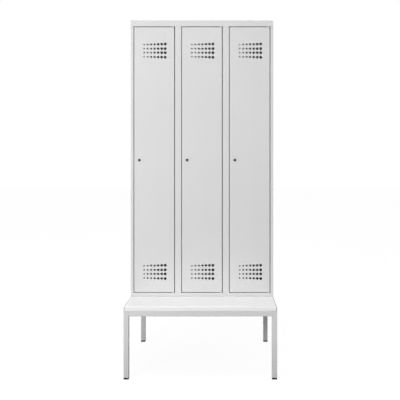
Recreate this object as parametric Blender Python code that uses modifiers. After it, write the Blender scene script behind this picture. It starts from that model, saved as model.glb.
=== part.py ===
"""Three-compartment steel clothes locker on a tube stand, with a seat in front of its doors.

Metres, +Z up. The origin is on the floor, in the middle of the footprint, and the doors face -Y.
"""

import math

import bpy
import bmesh
from mathutils import Matrix, Vector

# Running gap between neighbouring pieces, and how far a cutter reaches past what it cuts
CLEARANCE = 0.0003
OVERRUN = 0.002

# Whole locker
WIDTH = 0.900
SEAT_DEPTH = 0.275
CABINET_DEPTH = 0.500
CABINET_HEIGHT = 1.769
STAND_HEIGHT = 0.4015
COMPARTMENTS = ("left", "middle", "right")

# Stand of square steel tube
TUBE_SIDE = 0.030
TUBE_WALL = 0.0015
TUBE_CORNER = 0.002
RAIL_HEIGHT = 0.032

# Plastic feet
FOOT_HEIGHT = 0.010
FOOT_PLUG_LENGTH = 0.022
FOOT_CHAMFER = 0.0008

# Seat board
SEAT_THICKNESS = 0.025
SEAT_EDGE_RADIUS = 0.005

# Folded steel sheet
SHEET = 0.001
FOLD_RADIUS = 0.0015

# Front frame of the cabinet
STILE_WIDTH = 0.0175
MULLION_WIDTH = 0.040
TOP_RAIL_HEIGHT = 0.0387
BOTTOM_RAIL_HEIGHT = 0.0472
HINGE_RETURN_DEPTH = 0.018
SILL_RETURN_DEPTH = 0.025
STOP_LIP = 0.008
REAR_FLANGE = 0.012

# Doors
DOOR_GAP = 0.0045
DOOR_DEPTH = 0.020
DOOR_RETURN = 0.009

# Punched field of air holes, which grow from the lock side to the hinge side
HOLE_COLUMNS = 7
HOLE_PITCH = 0.02217
SMALL_HOLE_RADIUS = 0.0046
LARGE_HOLE_RADIUS = 0.0088
INNER_ROW_OFFSET = 0.01265
OUTER_ROW_OFFSET_SMALL = 0.0384
OUTER_ROW_OFFSET_LARGE = 0.0418
FIELD_SHIFT = 0.0029
TOP_FIELD_DROP = 0.1485
BOTTOM_FIELD_RISE = 0.128

# Hat-section stiffener inside each door
STIFFENER_WEB = 0.030
STIFFENER_FOOT = 0.014
STIFFENER_DEPTH = 0.012
STIFFENER_MARGIN = 0.035

# Hinge pins
HINGE_INSET = 0.0085
HINGE_SETBACK = 0.006
PIN_RADIUS = 0.003
PIN_COLLAR_RADIUS = 0.005
PIN_IN_FRAME = 0.012
PIN_IN_DOOR = 0.010

# Cam lock
LOCK_INSET = 0.0325
LOCK_BELOW_MIDDLE = 0.0025
LOCK_HEAD_RADIUS = 0.0095
LOCK_HEAD_THICKNESS = 0.0018
LOCK_HEAD_EDGE = 0.0005
BARREL_RADIUS = 0.008
PLUG_RADIUS = 0.006
SPINDLE_RADIUS = 0.003
SPINDLE_TAIL = 0.002
KEY_SLOT_WIDTH = 0.0014
KEY_SLOT_HEIGHT = 0.007
KEY_SLOT_DEPTH = 0.004
NUT_RADIUS = 0.0115
NUT_THICKNESS = 0.004
CAM_THICKNESS = 0.0025
CAM_WIDTH = 0.016
CAM_REACH = 0.035
CAM_RUNNING_GAP = 0.0006

# Shelf, coat rail and hooks of each compartment
HAT_SPACE_HEIGHT = 0.260
SHELF_LIP = 0.020
SHELF_LIP_RETURN = 0.010
SHELF_FRONT_GAP = 0.012
COAT_RAIL_RADIUS = 0.008
COAT_RAIL_BORE = 0.0065
COAT_RAIL_DROP = 0.055
END_PLATE_RADIUS = 0.015
END_PLATE_THICKNESS = 0.002
HOOK_WIRE_RADIUS = 0.0025
HOOK_SHANK = 0.030
HOOK_BEND_RADIUS = 0.012
HOOK_TIP = 0.008
HOOK_PLACE_SHARES = (-0.2, 0.2)
HOOK_NAMES = ("a", "b")

# Sides of round pieces, as counts
HOLE_SIDES = 8
PIN_SIDES = 12
LOCK_SIDES = 16
RAIL_SIDES = 16
ARC_STEPS = 8
FOLD_STEPS = 2
ROUND = 0.5

# Planes that the pieces line up with
FRONT = -(SEAT_DEPTH + CABINET_DEPTH) / 2
BACK = -FRONT
SIDE = WIDTH / 2
FACE = FRONT + SEAT_DEPTH
BACK_INSIDE = BACK - SHEET - CLEARANCE
CABINET_BOTTOM = STAND_HEIGHT + CLEARANCE
CABINET_TOP = CABINET_BOTTOM + CABINET_HEIGHT
OPENING_BOTTOM = CABINET_BOTTOM + BOTTOM_RAIL_HEIGHT
OPENING_TOP = CABINET_TOP - TOP_RAIL_HEIGHT
MULLIONS = len(COMPARTMENTS) - 1
OPENING_WIDTH = (WIDTH - 2 * STILE_WIDTH - MULLIONS * MULLION_WIDTH) / len(COMPARTMENTS)
PITCH = OPENING_WIDTH + MULLION_WIDTH
DOOR_WIDTH = OPENING_WIDTH - 2 * DOOR_GAP
DOOR_BOTTOM = OPENING_BOTTOM + DOOR_GAP
DOOR_TOP = OPENING_TOP - DOOR_GAP
DOOR_MIDDLE = (DOOR_BOTTOM + DOOR_TOP) / 2
STOP_DEPTH = DOOR_DEPTH + CLEARANCE
CAM_SETBACK = STOP_DEPTH + SHEET + CAM_RUNNING_GAP
SHELF_TOP = OPENING_TOP - HAT_SPACE_HEIGHT
COAT_RAIL_HEIGHT = SHELF_TOP - COAT_RAIL_DROP
COAT_RAIL_Y = (FACE + BACK) / 2

# Colour, roughness and metallic value of each finish
POWDER_COAT = ((0.66, 0.66, 0.66, 1.0), 0.45, 0.0)
SEAT_LAMINATE = ((0.80, 0.80, 0.79, 1.0), 0.40, 0.0)
BLACK_PLASTIC = ((0.02, 0.02, 0.02, 1.0), 0.55, 0.0)
NICKEL = ((0.12, 0.12, 0.12, 1.0), 0.30, 1.0)
ZINC = ((0.55, 0.56, 0.57, 1.0), 0.40, 1.0)

# A path drawn in local X and Y is pushed along local Z, and this turn lays that along world X
ALONG_X = (math.pi / 2, 0.0, math.pi / 2)
# Turned pieces point their local Z out of the door, and tubes lie along Y, by this turn
ALONG_Y = (math.pi / 2, 0.0, 0.0)


def clear_scene():
    for thing in list(bpy.data.objects):
        bpy.data.objects.remove(thing, do_unlink=True)


def new_collection(name):
    collection = bpy.data.collections.new(name)
    bpy.context.scene.collection.children.link(collection)
    return collection


def make_material(name, finish):
    colour, roughness, metallic = finish
    material = bpy.data.materials.new(name + "_finish")
    material.use_nodes = True
    shader = material.node_tree.nodes["Principled BSDF"]
    shader.inputs["Base Color"].default_value = colour
    shader.inputs["Roughness"].default_value = roughness
    shader.inputs["Metallic"].default_value = metallic
    return material


def add_piece(name, data, finish, place, turn=(0.0, 0.0, 0.0), axis=None):
    """Add a named piece at a world place; a moving piece hangs on the empty on its joint's axis."""
    piece = bpy.data.objects.new(name, data)
    PARTS.objects.link(piece)
    piece.rotation_euler = turn
    piece.location = place
    if axis is not None:
        piece.parent = axis
        piece.location = Vector(place) - world_place(axis)
    data.materials.append(make_material(name, finish))
    return piece


def add_axis(name, place, parent=None):
    axis = bpy.data.objects.new(name, None)
    axis.empty_display_size = DOOR_DEPTH
    PARTS.objects.link(axis)
    axis.location = place
    if parent is not None:
        axis.parent = parent
        axis.location = Vector(place) - world_place(parent)
    return axis


def world_place(thing):
    """World place of an empty whose parents are all unturned."""
    place = Vector(thing.location)
    if thing.parent is not None:
        place += world_place(thing.parent)
    return place


def mesh_from(bm, name):
    mesh = bpy.data.meshes.new(name)
    bm.to_mesh(mesh)
    bm.free()
    return mesh


def block_bmesh(size):
    """A box of the given size, centred on its origin."""
    bm = bmesh.new()
    bmesh.ops.create_cube(bm, size=1)
    bmesh.ops.scale(bm, vec=size, verts=bm.verts)
    return bm


def add_bevel(piece, width, segments):
    bevel = piece.modifiers.new("edges", "BEVEL")
    bevel.width = width
    bevel.segments = segments
    bevel.limit_method = "ANGLE"
    return bevel


def add_wall(piece, thickness):
    """Give an open surface a wall on its inner side."""
    wall = piece.modifiers.new("wall", "SOLIDIFY")
    wall.thickness = thickness
    wall.offset = -1
    wall.use_even_offset = True
    return wall


def cut_with(piece, cutter):
    cut = piece.modifiers.new("cut", "BOOLEAN")
    cut.operation = "DIFFERENCE"
    cut.object = cutter
    return cut


def add_cutter(name, bm, place, axis=None):
    cutter = bpy.data.objects.new(name, mesh_from(bm, name))
    CUTTERS.objects.link(cutter)
    cutter.hide_render = True
    cutter.display_type = "WIRE"
    cutter.location = place
    if axis is not None:
        cutter.parent = axis
        cutter.location = Vector(place) - world_place(axis)
    return cutter


def add_rod(bm, radius, length, sides, place, turn=Matrix.Identity(4)):
    """Add a closed cylinder, centred at a place, to a cutter's mesh."""
    bmesh.ops.create_cone(bm, cap_ends=True, segments=sides, radius1=radius, radius2=radius,
                          depth=length, matrix=Matrix.Translation(place) @ turn)


def folded_sheet(name, path, length, place, turn=(0.0, 0.0, 0.0), axis=None):
    """Sheet folded along a path in local X and Y; its wall lies on the left of the path."""
    bm = bmesh.new()
    verts = [bm.verts.new((x, y, 0.0)) for x, y in path]
    edges = [bm.edges.new(pair) for pair in zip(verts, verts[1:])]
    pushed = bmesh.ops.extrude_edge_only(bm, edges=edges)["geom"]
    moved = [item for item in pushed if isinstance(item, bmesh.types.BMVert)]
    bmesh.ops.translate(bm, vec=(0.0, 0.0, length), verts=moved)
    first = next(face for face in bm.faces if verts[0] in face.verts)
    across = Vector((path[1][1] - path[0][1], path[0][0] - path[1][0], 0.0))
    first.normal_update()
    if first.normal.dot(across) < 0:
        bmesh.ops.reverse_faces(bm, faces=bm.faces)
    piece = add_piece(name, mesh_from(bm, name), POWDER_COAT, place, turn, axis)
    add_bevel(piece, FOLD_RADIUS, FOLD_STEPS)
    add_wall(piece, SHEET)
    return piece


def square_tube(name, width, height, length, place, turn=(0.0, 0.0, 0.0)):
    """Rectangular tube along local Z, open at both ends and centred on its place."""
    bm = block_bmesh((width, height, length))
    ends = [face for face in bm.faces if abs(face.normal.z) > abs(face.normal.x + face.normal.y)]
    bmesh.ops.delete(bm, geom=ends, context="FACES")
    piece = add_piece(name, mesh_from(bm, name), POWDER_COAT, place, turn)
    add_bevel(piece, TUBE_CORNER, FOLD_STEPS)
    add_wall(piece, TUBE_WALL)
    return piece


def turned(name, profile, closed, sides, finish, place, turn=(0.0, 0.0, 0.0), axis=None):
    """Turn a profile of (radius, height) points about local Z."""
    bm = bmesh.new()
    verts = [bm.verts.new((radius, 0.0, height)) for radius, height in profile]
    for pair in zip(verts, verts[1:]):
        bm.edges.new(pair)
    if closed:
        bm.edges.new((verts[-1], verts[0]))
    piece = add_piece(name, mesh_from(bm, name), finish, place, turn, axis)
    lathe = piece.modifiers.new("lathe", "SCREW")
    lathe.steps = sides
    lathe.render_steps = sides
    lathe.use_merge_vertices = True
    lathe.merge_threshold = CLEARANCE / 10
    lathe.use_smooth_shade = False
    return piece


def flat_plate(name, outlines, thickness, finish, place, turn=(0.0, 0.0, 0.0), axis=None):
    """Plate of one outline with holes, in local X and Y, centred on its thickness."""
    curve = bpy.data.curves.new(name, "CURVE")
    curve.dimensions = "2D"
    curve.fill_mode = "BOTH"
    curve.extrude = thickness / 2
    for outline in outlines:
        spline = curve.splines.new("POLY")
        spline.points.add(len(outline) - 1)
        for point, (x, y) in zip(spline.points, outline):
            point.co = (x, y, 0.0, 1.0)
        spline.use_cyclic_u = True
    return add_piece(name, curve, finish, place, turn, axis)


def circle(radius, sides):
    return [(radius * math.cos(math.tau * i / sides), radius * math.sin(math.tau * i / sides))
            for i in range(sides)]


def arc(centre, radius, start, end, steps):
    """Points of an arc, from a start angle to an end angle."""
    angles = [start + (end - start) * i / steps for i in range(steps + 1)]
    return [(centre[0] + radius * math.cos(a), centre[1] + radius * math.sin(a)) for a in angles]


def opening_centre(index):
    return (index - MULLIONS / 2) * PITCH


def inner_walls(index):
    """Inner left and right faces of a compartment, at the side sheets or the partitions."""
    left = opening_centre(index) - PITCH / 2 + SHEET / 2
    right = opening_centre(index) + PITCH / 2 - SHEET / 2
    if index == 0:
        left = -SIDE + SHEET
    if index == MULLIONS:
        right = SIDE - SHEET
    return left, right


# Stand

def make_legs():
    length = STAND_HEIGHT - FOOT_HEIGHT - CLEARANCE
    middle = STAND_HEIGHT - length / 2
    inset = TUBE_SIDE / 2
    for depth_name, y in (("front", FRONT + inset), ("rear", BACK - inset)):
        for side_name, x in (("left", -SIDE + inset), ("right", SIDE - inset)):
            square_tube(f"leg_{depth_name}_{side_name}", TUBE_SIDE, TUBE_SIDE, length, (x, y, middle))
            make_foot(f"foot_{depth_name}_{side_name}", x, y)


def make_foot(name, x, y):
    """Plastic foot: a square head under the leg, chamfered at the floor, and a plug in the tube."""
    bm = block_bmesh((TUBE_SIDE, TUBE_SIDE, FOOT_HEIGHT))
    upright = [edge for edge in bm.edges if edge.verts[0].co.z * edge.verts[1].co.z < 0]
    bmesh.ops.bevel(bm, geom=upright, offset=TUBE_CORNER, segments=FOLD_STEPS, profile=ROUND,
                    affect="EDGES")
    sole = min(bm.faces, key=lambda face: face.calc_center_median().z)
    bmesh.ops.bevel(bm, geom=list(sole.edges), offset=FOOT_CHAMFER, segments=1, affect="EDGES")
    top = max(bm.faces, key=lambda face: face.calc_center_median().z)
    bmesh.ops.inset_region(bm, faces=[top], thickness=TUBE_WALL + CLEARANCE, use_even_offset=True)
    plug = bmesh.ops.extrude_face_region(bm, geom=[top])["geom"]
    raised = [item for item in plug if isinstance(item, bmesh.types.BMVert)]
    bmesh.ops.delete(bm, geom=[top], context="FACES_ONLY")
    bmesh.ops.translate(bm, vec=(0.0, 0.0, FOOT_PLUG_LENGTH), verts=raised)
    add_piece(name, mesh_from(bm, name), BLACK_PLASTIC, (x, y, FOOT_HEIGHT / 2))


def make_rails():
    between_legs = WIDTH - 2 * TUBE_SIDE - 2 * CLEARANCE
    height = STAND_HEIGHT - RAIL_HEIGHT / 2
    across = (0.0, math.pi / 2, 0.0)
    places = {"front_rail": FRONT + TUBE_SIDE / 2, "cross_rail": FACE, "rear_rail": BACK - TUBE_SIDE / 2}
    for name, y in places.items():
        square_tube(name, RAIL_HEIGHT, TUBE_SIDE, between_legs, (0.0, y, height), across)
    side_length = BACK - FRONT - 2 * TUBE_SIDE - 2 * CLEARANCE
    for side_name, x in (("left", -SIDE + TUBE_SIDE / 2), ("right", SIDE - TUBE_SIDE / 2)):
        square_tube(f"side_rail_{side_name}", TUBE_SIDE, RAIL_HEIGHT, side_length,
                    (x, 0.0, height), ALONG_Y)


def make_seat():
    depth = SEAT_DEPTH - CLEARANCE
    bm = block_bmesh((WIDTH, depth, SEAT_THICKNESS))
    height = STAND_HEIGHT + CLEARANCE + SEAT_THICKNESS / 2
    seat = add_piece("seat_board", mesh_from(bm, "seat_board"), SEAT_LAMINATE,
                     (0.0, FRONT + depth / 2, height))
    add_bevel(seat, SEAT_EDGE_RADIUS, 3)


# Cabinet

def prism_bmesh(outline, bottom, top):
    """Upright prism on an outline of (x, y) points, for cutters."""
    bm = bmesh.new()
    base = bm.faces.new([bm.verts.new((x, y, bottom)) for x, y in outline])
    pushed = bmesh.ops.extrude_face_region(bm, geom=[base], use_keep_orig=True)["geom"]
    raised = [item for item in pushed if isinstance(item, bmesh.types.BMVert)]
    bmesh.ops.translate(bm, vec=(0.0, 0.0, top - bottom), verts=raised)
    bmesh.ops.recalc_face_normals(bm, faces=bm.faces)
    return bm


def rectangle(left, front, right, rear):
    return [(left, front), (right, front), (right, rear), (left, rear)]


def make_side_panels():
    """Side sheets folded at the front into the stiles; the left stile carries the door stop."""
    edge = SIDE - STILE_WIDTH
    left_path = [(-SIDE + REAR_FLANGE, BACK_INSIDE), (-SIDE, BACK_INSIDE), (-SIDE, FACE),
                 (-edge, FACE), (-edge, FACE + STOP_DEPTH), (-edge + STOP_LIP, FACE + STOP_DEPTH)]
    right_path = [(edge, FACE + HINGE_RETURN_DEPTH), (edge, FACE), (SIDE, FACE),
                  (SIDE, BACK_INSIDE), (SIDE - REAR_FLANGE, BACK_INSIDE)]
    place = (0.0, 0.0, CABINET_BOTTOM)
    height = CABINET_HEIGHT - SHEET - CLEARANCE
    left = folded_sheet("side_panel_left", left_path, height, place)
    cut_with(left, stile_top_cutter("stile_top_left", -1))
    cut_with(left, lip_foot_cutter("stop_lip_foot", -edge))
    right = folded_sheet("side_panel_right", right_path, height, place)
    cut_with(right, stile_top_cutter("stile_top_right", 1))


def stile_top_cutter(name, side):
    """Notch that ends a stile under the top rail and sets the side sheet behind the rail."""
    outer = SIDE + OVERRUN
    middle = SIDE - STILE_WIDTH / 2
    inner = SIDE - STILE_WIDTH - STOP_LIP - OVERRUN
    front = FACE - OVERRUN
    behind_rail = FACE + FOLD_RADIUS + CLEARANCE
    rear = FACE + STOP_DEPTH + SHEET + OVERRUN
    outline = [(outer, front), (inner, front), (inner, rear), (middle, rear),
               (middle, behind_rail), (outer, behind_rail)]
    mirrored = [(side * x, y) for x, y in outline]
    return add_cutter(name, prism_bmesh(mirrored, OPENING_TOP - CLEARANCE, CABINET_TOP), (0.0, 0.0, 0.0))


def lip_foot_cutter(name, edge):
    """Notch that stops the left stile's lip above the floor panel."""
    outline = rectangle(edge - SHEET - OVERRUN, FACE + HINGE_RETURN_DEPTH,
                        edge + STOP_LIP + OVERRUN, FACE + STOP_DEPTH + SHEET + OVERRUN)
    bm = prism_bmesh(outline, CABINET_BOTTOM - OVERRUN, OPENING_BOTTOM + CLEARANCE)
    return add_cutter(name, bm, (0.0, 0.0, 0.0))


def pin_hole_cutter(name, height):
    """Round cutters for the three hinge pins, at the height of a level sheet."""
    bm = bmesh.new()
    for index in range(len(COMPARTMENTS)):
        x, y = hinge_line(index)
        add_rod(bm, PIN_RADIUS + CLEARANCE, SHEET + 2 * OVERRUN, PIN_SIDES, (x, y, 0.0))
    return add_cutter(name, bm, (0.0, 0.0, height))


def hinge_line(index):
    """X and Y of the upright line that a door turns about."""
    return opening_centre(index) + DOOR_WIDTH / 2 - HINGE_INSET, FACE + HINGE_SETBACK


def make_top():
    """Top sheet that laps over the side panels, folded down at the front into the top rail."""
    rear = BACK_INSIDE - SHEET - CLEARANCE
    path = [(rear, CABINET_TOP - REAR_FLANGE), (rear, CABINET_TOP), (FACE, CABINET_TOP),
            (FACE, OPENING_TOP), (FACE + SILL_RETURN_DEPTH, OPENING_TOP)]
    top = folded_sheet("top_panel", path, WIDTH, (-SIDE, 0.0, 0.0), ALONG_X)
    cut_with(top, pin_hole_cutter("top_pin_holes", OPENING_TOP + SHEET / 2))
    under_sheet = CABINET_TOP - SHEET - CLEARANCE / 2
    inner = SIDE - SHEET - CLEARANCE
    return_front = FACE + FOLD_RADIUS
    for side_name, side in (("left", -1), ("right", 1)):
        outline = rectangle(side * inner, return_front, side * (SIDE + OVERRUN), rear + OVERRUN)
        bm = prism_bmesh(outline, OPENING_TOP - OVERRUN, under_sheet)
        cut_with(top, add_cutter("top_end_" + side_name, bm, (0.0, 0.0, 0.0)))


def make_floor():
    """Floor of the compartments, notched round the stiles and folded down into the bottom rail."""
    left = -SIDE + SHEET + CLEARANCE
    rear = BACK_INSIDE - SHEET - CLEARANCE
    path = [(rear, CABINET_BOTTOM), (rear, OPENING_BOTTOM), (FACE, OPENING_BOTTOM),
            (FACE, CABINET_BOTTOM), (FACE + SILL_RETURN_DEPTH, CABINET_BOTTOM)]
    floor = folded_sheet("floor_panel", path, -2 * left, (left, 0.0, 0.0), ALONG_X)
    cut_with(floor, pin_hole_cutter("floor_pin_holes", OPENING_BOTTOM - SHEET / 2))
    inner = SIDE - STILE_WIDTH - CLEARANCE
    behind_stile = FACE + HINGE_RETURN_DEPTH + CLEARANCE
    for side_name, side in (("left", -1), ("right", 1)):
        outline = rectangle(side * inner, FACE - OVERRUN, side * SIDE, behind_stile)
        bm = prism_bmesh(outline, CABINET_BOTTOM - OVERRUN, OPENING_BOTTOM + OVERRUN)
        cut_with(floor, add_cutter("floor_corner_" + side_name, bm, (0.0, 0.0, 0.0)))


def make_back():
    bm = block_bmesh((WIDTH, SHEET, CABINET_HEIGHT))
    add_piece("back_panel", mesh_from(bm, "back_panel"), POWDER_COAT,
              (0.0, BACK - SHEET / 2, CABINET_BOTTOM + CABINET_HEIGHT / 2))


def make_mullions():
    """Upright hat sections between the doors, and the sheets that part the compartments."""
    half = MULLION_WIDTH / 2
    path = [(-half, HINGE_RETURN_DEPTH), (-half, 0.0), (half, 0.0), (half, STOP_DEPTH),
            (half + STOP_LIP, STOP_DEPTH)]
    bottom = OPENING_BOTTOM + CLEARANCE
    height = OPENING_TOP - OPENING_BOTTOM - 2 * CLEARANCE
    for index in range(MULLIONS):
        x = opening_centre(index) + PITCH / 2
        name = COMPARTMENTS[index] + "_" + COMPARTMENTS[index + 1]
        folded_sheet(f"mullion_{name}", path, height, (x, FACE, bottom))
        make_partition(f"partition_{name}", x)


def make_partition(name, x):
    """Sheet from the mullion to the back, notched at the front to pass behind the top rail."""
    front = FACE + SHEET + CLEARANCE
    notch = FACE + SILL_RETURN_DEPTH + CLEARANCE
    rear = BACK_INSIDE - SHEET - 2 * CLEARANCE
    bottom = OPENING_BOTTOM + CLEARANCE
    shoulder = OPENING_TOP - CLEARANCE
    top = CABINET_TOP - SHEET - CLEARANCE
    rear_flange_end = CABINET_TOP - REAR_FLANGE - CLEARANCE
    inner_rear = rear - SHEET
    outline = [(front, bottom), (rear, bottom), (rear, rear_flange_end),
               (inner_rear, rear_flange_end), (inner_rear, top), (notch, top), (notch, shoulder),
               (front, shoulder)]
    flat_plate(name, [outline], SHEET, POWDER_COAT, (x, 0.0, 0.0), ALONG_X)


def make_compartment(index):
    """Hat shelf, coat rail and two sliding hooks."""
    name = COMPARTMENTS[index]
    left, right = inner_walls(index)
    left += CLEARANCE
    width = right - CLEARANCE - left
    front = FACE + SILL_RETURN_DEPTH + SHELF_FRONT_GAP
    rear = BACK_INSIDE - SHEET - CLEARANCE
    path = [(rear, SHELF_TOP - SHELF_LIP), (rear, SHELF_TOP), (front, SHELF_TOP),
            (front, SHELF_TOP - SHELF_LIP), (front + SHELF_LIP_RETURN, SHELF_TOP - SHELF_LIP)]
    folded_sheet(f"hat_shelf_{name}", path, width, (left, 0.0, 0.0), ALONG_X)
    make_coat_rail(f"coat_rail_{name}", left, width)
    for hook_name, share in zip(HOOK_NAMES, HOOK_PLACE_SHARES):
        make_hook(f"coat_hook_{name}_{hook_name}", left + width / 2 + share * width)


def make_coat_rail(name, left, length):
    """Round tube with a plate at each end, welded to the compartment's walls."""
    profile = [(END_PLATE_RADIUS, length), (END_PLATE_RADIUS, length - END_PLATE_THICKNESS),
               (COAT_RAIL_RADIUS, length - END_PLATE_THICKNESS),
               (COAT_RAIL_RADIUS, END_PLATE_THICKNESS), (END_PLATE_RADIUS, END_PLATE_THICKNESS),
               (END_PLATE_RADIUS, 0.0), (COAT_RAIL_BORE, 0.0), (COAT_RAIL_BORE, length)]
    turned(name, profile, True, RAIL_SIDES, ZINC, (left, COAT_RAIL_Y, COAT_RAIL_HEIGHT), ALONG_X)


def make_hook(name, x):
    """Bent wire that hangs on the coat rail; its origin is on the rail's axis."""
    eye = COAT_RAIL_RADIUS + CLEARANCE + HOOK_WIRE_RADIUS
    eye_start = -math.pi / 6
    eye_end = math.pi * 3 / 2
    eye_arc = arc((0.0, 0.0), eye, eye_start, eye_end, 2 * ARC_STEPS)
    bend_top = -eye - HOOK_SHANK
    bend_arc = arc((-HOOK_BEND_RADIUS, bend_top), HOOK_BEND_RADIUS, 0.0, -math.pi, ARC_STEPS)
    tip = (-2 * HOOK_BEND_RADIUS, bend_top + HOOK_TIP)
    curve = bpy.data.curves.new(name, "CURVE")
    curve.dimensions = "3D"
    curve.bevel_depth = HOOK_WIRE_RADIUS
    curve.bevel_resolution = 1
    curve.use_fill_caps = True
    route = eye_arc + bend_arc + [tip]
    spline = curve.splines.new("POLY")
    spline.points.add(len(route) - 1)
    for point, (y, z) in zip(spline.points, route):
        point.co = (0.0, y, z, 1.0)
    add_piece(name, curve, ZINC, (x, COAT_RAIL_Y, COAT_RAIL_HEIGHT))


# Doors

def make_door(index):
    """One door with its stiffener, hinge pins and lock, all hung on the hinge line."""
    name = COMPARTMENTS[index]
    x, y = hinge_line(index)
    hinge = add_axis(f"hinge_axis_{name}", (x, y, DOOR_MIDDLE))
    make_door_panel(f"door_panel_{name}", index, hinge)
    make_stiffener(f"door_stiffener_{name}", opening_centre(index), hinge)
    make_pins(name, x, y)
    lock_x = opening_centre(index) - DOOR_WIDTH / 2 + LOCK_INSET
    make_lock(name, (lock_x, FACE, DOOR_MIDDLE - LOCK_BELOW_MIDDLE), hinge)


def make_door_panel(name, index, hinge):
    """Pan folded from one sheet, open at the back inside its return, with its holes punched."""
    height = DOOR_TOP - DOOR_BOTTOM
    bm = block_bmesh((DOOR_WIDTH, DOOR_DEPTH, height))
    rear = max(bm.faces, key=lambda face: face.calc_center_median().y)
    bmesh.ops.inset_region(bm, faces=[rear], thickness=DOOR_RETURN, use_even_offset=True)
    bmesh.ops.delete(bm, geom=[rear], context="FACES")
    place = (opening_centre(index), FACE + DOOR_DEPTH / 2, DOOR_MIDDLE)
    panel = add_piece(name, mesh_from(bm, name), POWDER_COAT, place, axis=hinge)
    add_bevel(panel, FOLD_RADIUS, FOLD_STEPS)
    add_wall(panel, SHEET)
    cut_with(panel, door_hole_cutter(name + "_holes", index, hinge))


def door_hole_cutter(name, index, hinge):
    """Cutter for the two fields of air holes, the lock hole and the two pin holes."""
    bm = bmesh.new()
    through_face = Matrix.Rotation(math.pi / 2, 4, "X")
    middle = SHEET / 2
    length = SHEET + 2 * OVERRUN
    fields = (DOOR_TOP - TOP_FIELD_DROP, DOOR_BOTTOM + BOTTOM_FIELD_RISE)
    for column in range(HOLE_COLUMNS):
        growth = column / (HOLE_COLUMNS - 1)
        x = FIELD_SHIFT + (column - (HOLE_COLUMNS - 1) / 2) * HOLE_PITCH
        radius = SMALL_HOLE_RADIUS + growth * (LARGE_HOLE_RADIUS - SMALL_HOLE_RADIUS)
        outer = OUTER_ROW_OFFSET_SMALL + growth * (OUTER_ROW_OFFSET_LARGE - OUTER_ROW_OFFSET_SMALL)
        for field in fields:
            for row in (-outer, -INNER_ROW_OFFSET, INNER_ROW_OFFSET, outer):
                add_rod(bm, radius, length, HOLE_SIDES, (x, middle, field + row), through_face)
    lock_place = (LOCK_INSET - DOOR_WIDTH / 2, middle, DOOR_MIDDLE - LOCK_BELOW_MIDDLE)
    add_rod(bm, BARREL_RADIUS + CLEARANCE, length, LOCK_SIDES, lock_place, through_face)
    pin_x = DOOR_WIDTH / 2 - HINGE_INSET
    for edge in (DOOR_TOP - middle, DOOR_BOTTOM + middle):
        add_rod(bm, PIN_RADIUS + CLEARANCE, length, PIN_SIDES, (pin_x, HINGE_SETBACK, edge))
    return add_cutter(name, bm, (opening_centre(index), FACE, 0.0), axis=hinge)


def make_stiffener(name, x, hinge):
    """Hat section inside the door, between its two fields of holes."""
    field_half = OUTER_ROW_OFFSET_LARGE + LARGE_HOLE_RADIUS + STIFFENER_MARGIN
    bottom = DOOR_BOTTOM + BOTTOM_FIELD_RISE + field_half
    top = DOOR_TOP - TOP_FIELD_DROP - field_half
    half = STIFFENER_WEB / 2
    foot = half + STIFFENER_FOOT
    path = [(-foot, 0.0), (-half, 0.0), (-half, STIFFENER_DEPTH), (half, STIFFENER_DEPTH),
            (half, 0.0), (foot, 0.0)]
    folded_sheet(name, path, top - bottom, (x, FACE + SHEET + CLEARANCE, bottom), axis=hinge)


def make_pins(name, x, y):
    """Shouldered pins: welded into the frame, they stand in the door's top and bottom edges."""
    collar = DOOR_GAP / 2 - CLEARANCE
    in_door = DOOR_GAP / 2 + PIN_IN_DOOR
    in_frame = DOOR_GAP / 2 + PIN_IN_FRAME
    profile = [(0.0, in_door), (PIN_RADIUS, in_door), (PIN_RADIUS, collar),
               (PIN_COLLAR_RADIUS, collar), (PIN_COLLAR_RADIUS, -collar), (PIN_RADIUS, -collar),
               (PIN_RADIUS, -in_frame), (0.0, -in_frame)]
    over = (math.pi, 0.0, 0.0)
    bottom = (x, y, OPENING_BOTTOM + DOOR_GAP / 2)
    top = (x, y, OPENING_TOP - DOOR_GAP / 2)
    turned(f"hinge_pin_{name}_bottom", profile, False, PIN_SIDES, ZINC, bottom)
    turned(f"hinge_pin_{name}_top", profile, False, PIN_SIDES, ZINC, top, over)


def make_lock(name, place, hinge):
    """Cam lock: housing and nut stay on the door, plug and cam turn with the key."""
    head = CLEARANCE + LOCK_HEAD_THICKNESS
    barrel_end = -CAM_SETBACK + 2 * CLEARANCE
    bore = PLUG_RADIUS + CLEARANCE
    chamfer = LOCK_HEAD_RADIUS - LOCK_HEAD_EDGE
    housing = [(chamfer, head), (LOCK_HEAD_RADIUS, head - LOCK_HEAD_EDGE), (LOCK_HEAD_RADIUS, CLEARANCE),
               (BARREL_RADIUS, CLEARANCE), (BARREL_RADIUS, barrel_end), (bore, barrel_end), (bore, head)]
    turned(f"lock_housing_{name}", housing, True, LOCK_SIDES, NICKEL, place, ALONG_Y, hinge)
    nut_y = place[1] + SHEET + CLEARANCE + NUT_THICKNESS / 2
    nut_hole = circle(BARREL_RADIUS + CLEARANCE, LOCK_SIDES)
    flat_plate(f"lock_nut_{name}", [circle(NUT_RADIUS, 6), nut_hole], NUT_THICKNESS, ZINC,
               (place[0], nut_y, place[2]), ALONG_Y, hinge)
    key_axis = add_axis(f"lock_axis_{name}", place, hinge)
    make_plug(f"lock_plug_{name}", place, key_axis)
    make_cam(f"lock_cam_{name}", place, key_axis)


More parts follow.
